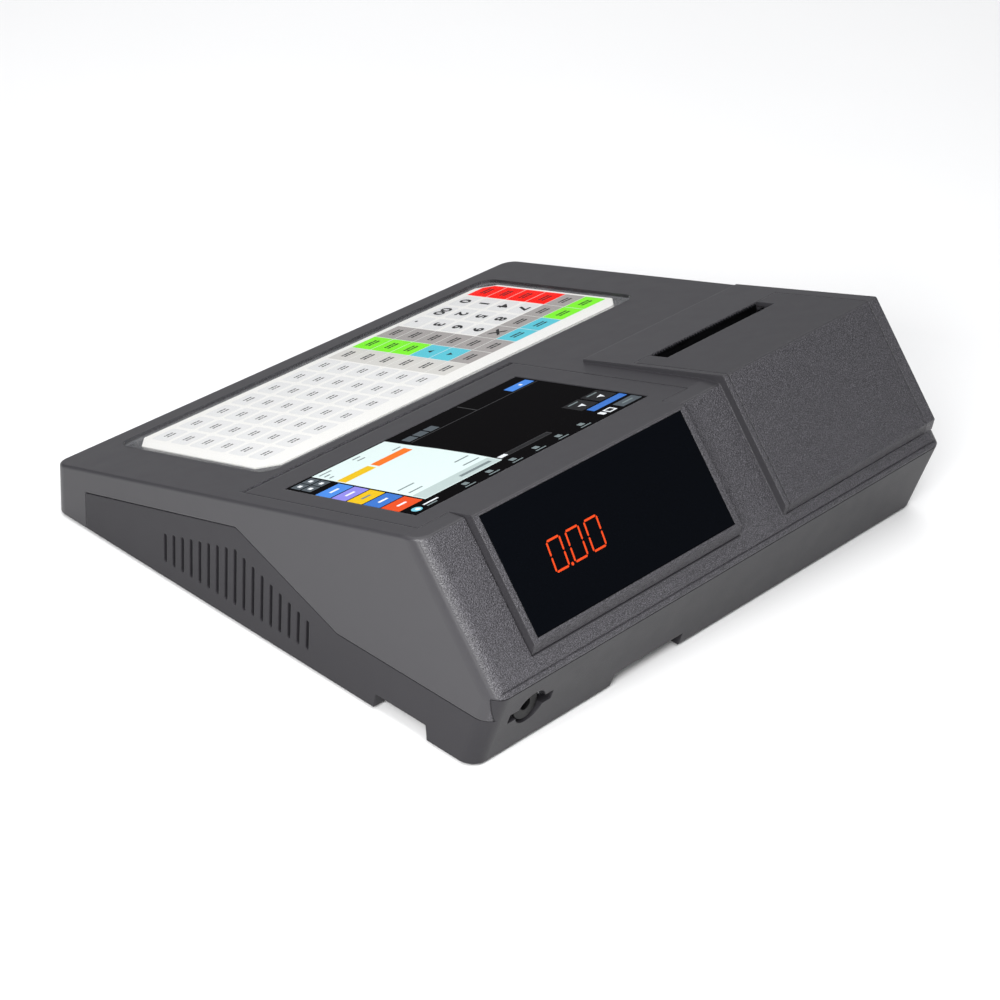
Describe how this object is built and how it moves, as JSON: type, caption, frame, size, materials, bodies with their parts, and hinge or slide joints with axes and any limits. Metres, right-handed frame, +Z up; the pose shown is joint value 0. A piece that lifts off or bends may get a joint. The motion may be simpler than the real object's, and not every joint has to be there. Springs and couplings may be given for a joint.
{
  "type": "cash register",
  "caption": "Wedge-shaped desktop cash register with a membrane keyboard, tilting touch screen with customer display, and a receipt printer under a hinged lid.",
  "frame": {"origin": "centre of the bounding box at table level, under the feet", "axes": "+Z up; -Y towards the cashier and the keyboard; +Y towards the customer; +X towards the cashier's right"},
  "size_m": [0.326, 0.2958, 0.1062],
  "materials": {
    "case_top_plastic": "fine satin dark charcoal",
    "case_base_plastic": "fine satin dark charcoal, a little darker",
    "lid_plastic": "fine-grained dark charcoal",
    "bezel_plastic": "fine satin dark charcoal",
    "inner_plastic": "black, unpolished",
    "key_print": "printed foil in red, green, cyan, grey and white fields",
    "clear_cover": "clear smooth plastic, moulded",
    "screen_surface": "smooth touch glass over the lit panel",
    "screen_body": "pressed sheet",
    "window_tint": "near-black gloss",
    "digit_body": "segment display blocks",
    "circuit_board": "green solder resist",
    "rubber_black": "soft black",
    "dome_rubber": "dark grey silicone",
    "membrane_sheet": "dark grey laminate",
    "steel": "plain steel",
    "bright_steel": "plated",
    "heat_sink_metal": "plain",
    "ceramic_head": "glazed ceramic strip",
    "paper": "coated paper",
    "card_tube": "brown card",
    "gear_plastic": "off-white acetal"
  },
  "bodies": {
    "base": {"upper_case": "case_top_plastic", "lower_case": "case_base_plastic", "keyboard_board": "membrane_sheet", "key_dome_sheet": "dome_rubber", "key_foil": "key_print", "keyboard_cover": "clear_cover", "keyboard_ribbon": "inner_plastic", "display_hinge_pin_left": "steel", "display_hinge_pin_right": "steel", "cover_hinge_pin": "steel", "idler_pin": "steel", "feed_motor": "steel", "printer_frame": "steel", "thermal_head": "ceramic_head", "head_heat_sink": "heat_sink_metal", "head_spring": "steel", "tear_bar": "bright_steel", "printer_screws": "steel", "paper_bucket": "inner_plastic", "main_board": "circuit_board", "processor_heat_sink": "heat_sink_metal", "capacitors": "inner_plastic", "backup_battery": "bright_steel", "memory_card_slot": "steel", "ribbon_socket": "ceramic_head", "buzzer": "inner_plastic", "board_screws": "steel", "port_board": "circuit_board", "drawer_port": "inner_plastic", "network_port": "bright_steel", "usb_port": "bright_steel", "power_inlet": "inner_plastic", "inlet_screws": "bright_steel", "foot_front_left": "rubber_black", "foot_front_right": "rubber_black", "foot_rear_left": "rubber_black", "foot_rear_right": "rubber_black", "case_screws": "steel"},
    "display": {"display_bezel": "bezel_plastic", "screen_glass": "screen_surface", "screen_panel": "screen_body", "screen_driver_board": "circuit_board", "display_back_cover": "inner_plastic", "customer_back_cover": "inner_plastic", "customer_window": "window_tint", "customer_board": "circuit_board", "customer_digits": "digit_body"},
    "cover": {"printer_cover": "lid_plastic"},
    "platen": {"platen_roller": "rubber_black", "platen_shaft": "steel", "platen_gear": "gear_plastic"},
    "idler": {"idler_gear": "gear_plastic"},
    "motor_rotor": {"motor_pinion": "gear_plastic", "motor_shaft": "steel"},
    "roll": {"paper_roll": "paper", "paper_core": "card_tube"}
  },
  "joints": [
    {"name": "display_tilt", "type": "hinge", "parent": "base", "child": "display", "pos_m": [0.0632, -0.01974, 0.06367], "axis": [1, 0, 0], "range_deg": [0, 40]},
    {"name": "cover_hinge", "type": "hinge", "parent": "base", "child": "cover", "pos_m": [-0.09705, 0.14152, 0.05311], "axis": [-1, 0, 0], "range_deg": [0, 95]},
    {"name": "platen_spin", "type": "hinge", "parent": "cover", "child": "platen", "pos_m": [-0.095, 0.0543, 0.078], "axis": [1, 0, 0], "continuous": true},
    {"name": "idler_spin", "type": "hinge", "parent": "base", "child": "idler", "pos_m": [-0.1464, 0.04962, 0.06307], "axis": [1, 0, 0], "continuous": true},
    {"name": "motor_spin", "type": "hinge", "parent": "base", "child": "motor_rotor", "pos_m": [-0.1464, 0.04068, 0.05412], "axis": [1, 0, 0], "continuous": true},
    {"name": "roll_spin", "type": "hinge", "parent": "base", "child": "roll", "pos_m": [-0.095, 0.0995, 0.048], "axis": [1, 0, 0], "continuous": true}
  ],
  "couplings": [
    {"joint": "platen_spin", "follows": "roll_spin", "ratio": 5},
    {"joint": "idler_spin", "follows": "roll_spin", "ratio": -4.2857},
    {"joint": "motor_spin", "follows": "roll_spin", "ratio": 8.5714}
  ]
}
